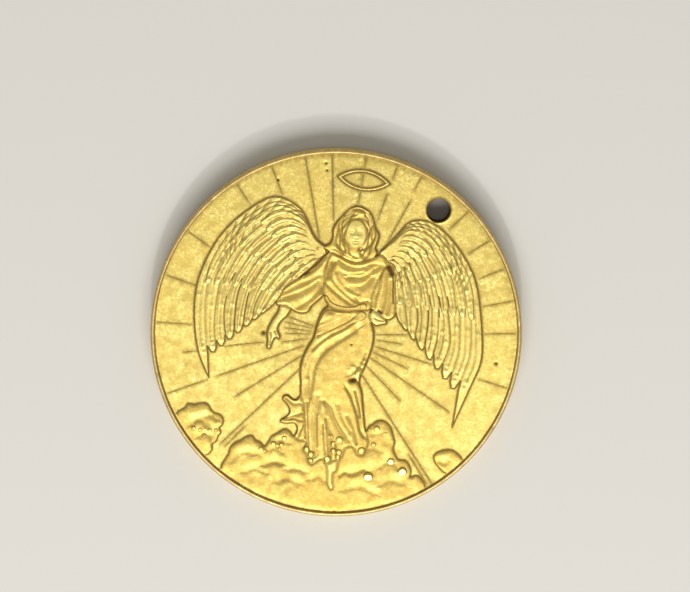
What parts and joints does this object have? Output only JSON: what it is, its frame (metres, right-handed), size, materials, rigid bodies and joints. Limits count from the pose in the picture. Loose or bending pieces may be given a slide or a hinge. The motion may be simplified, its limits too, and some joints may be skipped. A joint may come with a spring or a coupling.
{
  "type": "challenge coin",
  "caption": "Round struck brass challenge coin with raised rims, an angel in relief over clouds, a sunburst field and a hanging hole near the edge.",
  "frame": {"origin": "centre of the coin, on the plane that the reverse rim rests on", "axes": "+Z out of the obverse, +Y from the figure's feet to its halo, +X to the right when the obverse is seen upright"},
  "size_m": [0.0381, 0.038, 0.003],
  "materials": {
    "field_brass": "satin struck brass, faintly mottled",
    "relief_brass": "satin brass with burnished high points and dark recess lines",
    "robe_brass": "warm satin brass with dark recess lines",
    "cloud_brass": "warm satin brass, toned towards the lower edge",
    "rim_brass": "worn, slightly dulled brass with small nicks"
  },
  "bodies": {
    "root": {"blank": "field_brass", "obverse_rim": "rim_brass", "reverse_rim": "rim_brass", "sun_rays": "field_brass", "halo": "relief_brass", "wing_left_primaries": "relief_brass", "wing_left_secondaries": "relief_brass", "wing_left_coverts": "relief_brass", "wing_left_lesser_coverts": "relief_brass", "wing_right_primaries": "relief_brass", "wing_right_secondaries": "relief_brass", "wing_right_coverts": "relief_brass", "wing_right_lesser_coverts": "relief_brass", "hair": "robe_brass", "face": "relief_brass", "bodice": "robe_brass", "sash": "robe_brass", "sleeve_left": "robe_brass", "sleeve_right": "robe_brass", "hand_left": "relief_brass", "hand_right": "relief_brass", "skirt": "robe_brass", "hip_wrap": "robe_brass", "robe_tail": "robe_brass", "foot": "relief_brass", "clouds_left": "cloud_brass", "clouds_bottom": "cloud_brass", "clouds_right": "cloud_brass", "reverse_sunburst": "field_brass"}
  },
  "joints": []
}
